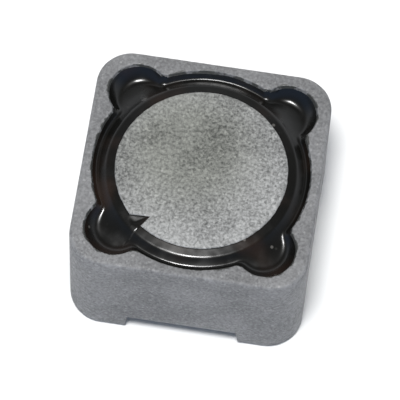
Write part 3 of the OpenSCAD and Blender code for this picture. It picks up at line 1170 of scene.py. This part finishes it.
GRAIN = Effect(
    "Sintered grain",
    (("Per metre", "Float", 9000.0), ("Dark", "Color", (0.18, 0.18, 0.18, 1.0)),
     ("Light", "Color", (0.3, 0.3, 0.3, 1.0)), ("Drift", "Float", 0.3),
     ("Sparkle", "Float", 0.2)),
    (("Color", "Color"), ("Height", "Float"), ("Tone", "Float")),
    fill_grain,
)
WEAR = Effect("Rubbed edges", (("Per metre", "Float", 1500.0), ("Amount", "Float", 1.0)),
              (("Mask", "Float"),), fill_wear)
DUST = Effect("Fine dust", (("Per metre", "Float", 2600.0), ("Amount", "Float", 0.5)),
              (("Mask", "Float"),), fill_dust)


@dataclass(frozen=True)
class Finish:
    """A surface finish, and the base of them all."""

    name: str
    roughness: float = 0.5

    def dress(self, *pieces: bpy.types.Object) -> None:
        """Gives the finish to pieces, and makes its material the first time."""
        name = f"{self.name}_finish"
        material = bpy.data.materials.get(name)
        if material is None:
            material = bpy.data.materials.new(name)
            material.use_nodes = True
            wires = Wiring(material.node_tree)
            material.node_tree.nodes.clear()
            shader = self.shade(wires)
            wires.place("OutputMaterial", {"Surface": shader.outputs[0]})
        for piece in pieces:
            piece.data.materials.clear()
            piece.data.materials.append(material)

    def shade(self, wires: Wiring) -> bpy.types.Node:
        """Builds the finish's nodes and gives its shader."""
        return wires.place("BsdfPrincipled", {"Roughness": self.roughness})

    @staticmethod
    def surface(wires: Wiring, colour: object, rough: object, height: object,
                relief: tuple[float, float], **more: float) -> bpy.types.Node:
        """Places a Principled shader over a bump.

        Args:
            wires: The material's wiring.
            colour: Its colour.
            rough: Its roughness.
            height: The bump's height.
            relief: The bump's strength, and its depth in millimetres.
            **more: Other inputs of the shader, with their values.

        Returns:
            The shader's node.
        """
        strength, depth = relief
        bump = wires.place("Bump", {"Height": height, "Strength": strength,
                                    "Distance": depth * MM})
        return wires.place("BsdfPrincipled", {
            "Base Color": colour, "Roughness": rough, "Normal": bump.outputs[0], **more})


@dataclass(frozen=True)
class Ferrite(Finish):
    """Fired or ground ferrite."""

    dark: Colour = (0.102, 0.102, 0.102)
    light: Colour = (0.215, 0.215, 0.216)
    worn: Colour = (0.3, 0.3, 0.3)
    # The heart colour and its place paint shade: they darken the middle of the disc, standing in
    # for the sheen that brightens its rim.
    painted_heart_shade: Colour | None = None
    painted_heart_shade_at: Flat = (0.0, 0.0)
    film: Colour = (0.03, 0.031, 0.027)
    grains_per_metre: float = 7000.0
    drift: float = 0.3
    sparkle: float = 0.1
    wear: float = 0.35
    bump: float = 0.4
    roughness: float = 0.6

    def shade(self, wires: Wiring) -> bpy.types.Node:
        """Grain with rubbed edges, a painted shade that darkens the middle, crept adhesive and a
        little dust.
        """
        grain = GRAIN.use(wires, **{"Per metre": self.grains_per_metre,
                                    "Dark": (*self.dark, 1.0), "Light": (*self.light, 1.0),
                                    "Drift": self.drift, "Sparkle": self.sparkle})
        wear = WEAR.use(wires, Amount=self.wear)["Mask"]
        dust = DUST.use(wires, Amount=0.35)["Mask"]
        place = wires.place("TexCoord").outputs["Object"]
        colour = grain["Color"]
        # Painted shade: darkens the disc towards its middle, standing in for the sheen that lights
        # its rim.
        if self.painted_heart_shade:
            flat = wires.place("VectorMath", {0: place, 1: (1.0, 1.0, 0.0)},
                               operation="MULTIPLY").outputs[0]
            reach = wires.place("VectorMath", {0: flat, 1: Vector((*self.painted_heart_shade_at, 0)) * MM},
                                operation="DISTANCE").outputs["Value"]
            painted_heart_shade = wires.ramp(reach, 5.2 * MM, 1.4 * MM)
            colour = wires.blend(painted_heart_shade, colour, wires.blend(
                1.0, colour, (*self.painted_heart_shade, 1.0), how="MULTIPLY"))
        colour = wires.blend(wear, colour, (*self.worn, 1.0))
        blot = wires.place("TexNoise", {"Vector": place, "Scale": 1900.0, "Detail": 4.0,
                                        "Roughness": 0.6}).outputs[0]
        crept = wires.math("ADD", wires.place("Attribute", attribute_name="smear").outputs["Fac"],
                           wires.ramp(blot, 0.3, 0.7, -0.4, 0.4))
        film = wires.math("MULTIPLY", wires.ramp(crept, 0.52, 0.7), 0.86)
        colour = wires.blend(film, colour, (*self.film, 1.0))
        colour = wires.blend(dust, colour, (0.45, 0.44, 0.42, 1.0))
        rough = wires.ramp(grain["Tone"], 0.0, 1.0, self.roughness + 0.12, self.roughness - 0.1)
        rough = wires.math("SUBTRACT", rough, wires.math("MULTIPLY", film, 0.34))
        return self.surface(wires, colour, rough, grain["Height"], (self.bump, 0.02))


@dataclass(frozen=True)
class Epoxy(Finish):
    """Glossy black epoxy with a warm cast in patches."""

    base: Colour = (0.004, 0.004, 0.0035)
    cast: Colour = (0.016, 0.009, 0.006)
    roughness: float = 0.22
    dust: float = 0.2

    def shade(self, wires: Wiring) -> bpy.types.Node:
        """A black that drifts to brown, with faint ripples and dust in its gloss."""
        place = wires.place("TexCoord").outputs["Object"]
        patch = wires.place("TexNoise", {"Vector": place, "Scale": 320.0,
                                         "Detail": 2.0}).outputs[0]
        colour = wires.blend(wires.ramp(patch, 0.45, 0.7), (*self.base, 1.0), (*self.cast, 1.0))
        dust = DUST.use(wires, Amount=self.dust)["Mask"]
        colour = wires.blend(dust, colour, (0.4, 0.38, 0.35, 1.0))
        film = wires.place("TexNoise", {"Vector": place, "Scale": 900.0,
                                        "Detail": 3.0}).outputs[0]
        rough = wires.math("ADD", wires.ramp(film, 0.4, 0.75, self.roughness - 0.03,
                                             self.roughness + 0.09),
                           wires.math("MULTIPLY", dust, 0.5))
        return self.surface(wires, colour, rough, film, (0.12, 0.03))


@dataclass(frozen=True)
class TinnedSheet(Finish):
    """Matte tin over bronze sheet, with faint rolling lines and handling marks."""

    tin: Colour = (0.90, 0.87, 0.76)
    dull: Colour = (0.66, 0.62, 0.5)
    roughness: float = 0.34

    def shade(self, wires: Wiring) -> bpy.types.Node:
        """Tin crystals, rolling lines along the sheet, and duller edges."""
        place = wires.place("TexCoord").outputs["Object"]
        stretched = wires.place("Mapping", {"Vector": place, "Scale": (900.0, 14000.0, 5000.0)})
        lines = wires.place("TexNoise", {"Vector": stretched.outputs[0], "Scale": 1.0,
                                         "Detail": 3.0}).outputs[0]
        cloud = wires.place("TexNoise", {"Vector": place, "Scale": 700.0, "Detail": 5.0,
                                         "Roughness": 0.6}).outputs[0]
        grain = GRAIN.use(wires, **{"Per metre": 16000.0, "Sparkle": 0.0})
        wear = WEAR.use(wires, **{"Per metre": 2600.0, "Amount": 0.6})["Mask"]
        colour = wires.blend(wires.ramp(cloud, 0.42, 0.7), (*self.tin, 1.0), (*self.dull, 1.0))
        colour = wires.blend(wires.math("MULTIPLY", wear, 0.6), colour, (0.5, 0.42, 0.32, 1.0))
        rough = wires.ramp(wires.math("ADD", wires.math("MULTIPLY", lines, 0.5),
                                      wires.math("MULTIPLY", cloud, 0.5)),
                           0.35, 0.65, self.roughness - 0.06, self.roughness + 0.14)
        height = wires.math("ADD", lines, wires.math("MULTIPLY", grain["Height"], 0.5))
        return self.surface(wires, colour, rough, height, (0.25, 0.008), Metallic=1.0)


@dataclass(frozen=True)
class EnamelledWire(Finish):
    """Copper under a clear reddish enamel."""

    copper: Colour = (0.46, 0.15, 0.07)
    deep: Colour = (0.26, 0.07, 0.035)
    roughness: float = 0.24

    def shade(self, wires: Wiring) -> bpy.types.Node:
        """Copper whose enamel is thicker in patches."""
        place = wires.place("TexCoord").outputs["Object"]
        patch = wires.place("TexNoise", {"Vector": place, "Scale": 1400.0,
                                         "Detail": 3.0}).outputs[0]
        colour = wires.blend(wires.ramp(patch, 0.35, 0.68), (*self.copper, 1.0),
                             (*self.deep, 1.0))
        rough = wires.ramp(patch, 0.3, 0.7, self.roughness - 0.06, self.roughness + 0.08)
        return self.surface(wires, colour, rough, patch, (0.15, 0.02),
                            **{"Metallic": 0.8, "Coat Weight": 0.8, "Coat Roughness": 0.08})


@dataclass(frozen=True)
class Solder(Finish):
    """Bright tin solder, slightly wrinkled as it set."""

    bright: Colour = (0.78, 0.78, 0.76)
    dull: Colour = (0.5, 0.5, 0.48)
    roughness: float = 0.2

    def shade(self, wires: Wiring) -> bpy.types.Node:
        """Bright metal with dull frost between its wrinkles."""
        grain = GRAIN.use(wires, **{"Per metre": 6000.0, "Dark": (*self.dull, 1.0),
                                    "Light": (*self.bright, 1.0), "Sparkle": 0.0})
        rough = wires.ramp(grain["Tone"], 0.2, 0.8, self.roughness + 0.16, self.roughness)
        return self.surface(wires, grain["Color"], rough, grain["Height"], (0.3, 0.02),
                            Metallic=1.0)


# ---------------------------------------------------------------- the studio


class Backdrop(Enum):
    """The studio's plain tones."""

    FLOOR = (0.86, 0.86, 0.85)
    FRONT = (0.22, 0.32, 0.52)
    BEHIND = (0.80, 0.82, 0.85)
    ABOVE = (0.10, 0.10, 0.10)
    SOFTBOX_GLOW = (1.0, 1.0, 1.0)


@dataclass
class Studio:
    """A pale floor, a soft light near the camera, and the camera itself."""

    azimuth: float = 6.13
    elevation: float = 64.75
    roll: float = 2.8
    distance: float = 201.0
    lens: float = 355.0
    light_at: tuple[float, float, float] = (-0.04, -0.22, 0.975)
    light_reach: float = 300.0
    light_size: float = 75.0
    light_watts: float = 0.95
    glow_from: float = 0.88
    glow_to: float = 0.97
    glow: float = 0.9

    def floor(self) -> None:
        """Lays the floor under the part's lands."""
        shell = Shell()
        rings = [shell.loop(at_height([polar(reach, 360 * i / 96) for i in range(96)], 0.0))
                 for reach in FLOOR_RINGS]
        shell.skin(rings)
        shell.fan(rings[0], Vector((0, 0, 0)))
        mesh = bpy.data.meshes.new("floor")
        mesh.from_pydata([point * MM for point in shell.points], [], shell.faces)
        floor = bpy.data.objects.new("floor", mesh)
        bpy.context.scene.collection.objects.link(floor)
        floor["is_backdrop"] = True
        material = bpy.data.materials.new("pale_floor")
        material.use_nodes = True
        shader = material.node_tree.nodes["Principled BSDF"]
        shader.inputs["Base Color"].default_value = (*Backdrop.FLOOR.value, 1.0)
        shader.inputs["Roughness"].default_value = 0.7
        shader.inputs["Specular IOR Level"].default_value = 0.2
        mesh.materials.append(material)

    def surroundings(self) -> None:
        """Paints the light around the part: bright at the horizon and near the softbox."""
        world = bpy.data.worlds.new("studio")
        world.use_nodes = True
        world.node_tree.nodes.clear()
        wires = Wiring(world.node_tree)
        place = wires.place("TexCoord").outputs["Generated"]
        parts = wires.place("SeparateXYZ", {0: place})
        colour = wires.blend(wires.ramp(parts.outputs[1], -0.5, 0.5),
                             (*Backdrop.FRONT.value, 1.0), (*Backdrop.BEHIND.value, 1.0))
        colour = wires.blend(wires.ramp(parts.outputs[2], 0.25, 0.9), colour,
                             (*Backdrop.ABOVE.value, 1.0))
        toward = wires.place("VectorMath", {0: place, 1: Vector(self.light_at).normalized()},
                             operation="DOT_PRODUCT").outputs["Value"]
        near = wires.math("MULTIPLY", wires.ramp(toward, self.glow_from, self.glow_to), self.glow)
        colour = wires.blend(near, colour, (*Backdrop.SOFTBOX_GLOW.value, 1.0))
        back = wires.place("Background", {"Color": colour, "Strength": 1.0})
        wires.place("OutputWorld", {"Surface": back.outputs[0]})
        bpy.context.scene.world = world

    def softbox(self, centre: Vector) -> None:
        """Hangs the round softbox over the part."""
        data = bpy.data.lights.new("softbox", "AREA")
        data.shape = "DISK"
        data.size = self.light_size * MM
        data.energy = self.light_watts
        light = bpy.data.objects.new("softbox", data)
        away = Vector(self.light_at).normalized()
        light.location = centre + away * self.light_reach * MM
        light.rotation_euler = away.to_track_quat("Z", "Y").to_euler()
        bpy.context.scene.collection.objects.link(light)

    def camera(self, centre: Vector) -> None:
        """Sets the camera up so that it looks at the part's centre."""
        around, above = math.radians(self.azimuth), math.radians(self.elevation)
        back = Vector((math.sin(around) * math.cos(above),
                       -math.cos(around) * math.cos(above), math.sin(above)))
        level = Vector((math.cos(around), math.sin(around), 0))
        upright = back.cross(level)
        turn = math.radians(self.roll)
        right = level * math.cos(turn) + upright * math.sin(turn)
        up = back.cross(right)
        data = bpy.data.cameras.new("camera")
        data.lens = self.lens
        data.clip_start, data.clip_end = 0.01, 10.0
        camera = bpy.data.objects.new("camera", data)
        place = Matrix((right, up, back)).transposed().to_4x4()
        place.translation = centre + back * self.distance * MM
        camera.matrix_world = place
        bpy.context.scene.collection.objects.link(camera)
        bpy.context.scene.camera = camera

    def build(self) -> None:
        """Sets up floor, lights and camera around the part."""
        low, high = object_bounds()
        centre = (Vector(low) + Vector(high)) / 2
        self.floor()
        self.surroundings()
        self.softbox(centre)
        self.camera(centre)
        bpy.context.scene.view_settings.view_transform = "Standard"


def main() -> None:
    """Builds every piece, dresses it and sets up the studio."""
    logging.basicConfig(level=logging.INFO, format="%(name)s: %(message)s")
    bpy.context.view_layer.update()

    ring_ferrite = Ferrite("ring_ferrite")
    # The drum's disc gets painted shade that darkens towards its middle.
    drum_ferrite = Ferrite("drum_ferrite", dark=(0.068, 0.069, 0.066),
                           light=(0.375, 0.377, 0.368), painted_heart_shade=(0.66, 0.67, 0.61),
                           painted_heart_shade_at=(-0.9, 1.1), grains_per_metre=6500.0, sparkle=0.16)

    ring = RingCore()
    drum = DrumCore()
    adhesive = TopAdhesive(drum, ring)
    winding = Winding(drum)
    ring_ferrite.dress(ring.build())
    drum_ferrite.dress(drum.build())
    Epoxy("black_epoxy").dress(adhesive.build())
    EnamelledWire("enamelled_wire").dress(winding.build())
    sheet = TinnedSheet("tinned_sheet")
    sheet.dress(Terminal(side=1).build(), Terminal(side=-1).build())
    solder = Solder("solder")
    for end, name in zip(winding.ends, ("right", "left")):
        solder.dress(SolderJoint(winding, end, name).build())
    Epoxy("bond_film", base=(0.03, 0.026, 0.02), roughness=0.4).dress(
        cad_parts["bond_left"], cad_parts["bond_right"])
    Studio().build()


if __name__ == "__main__":
    main()
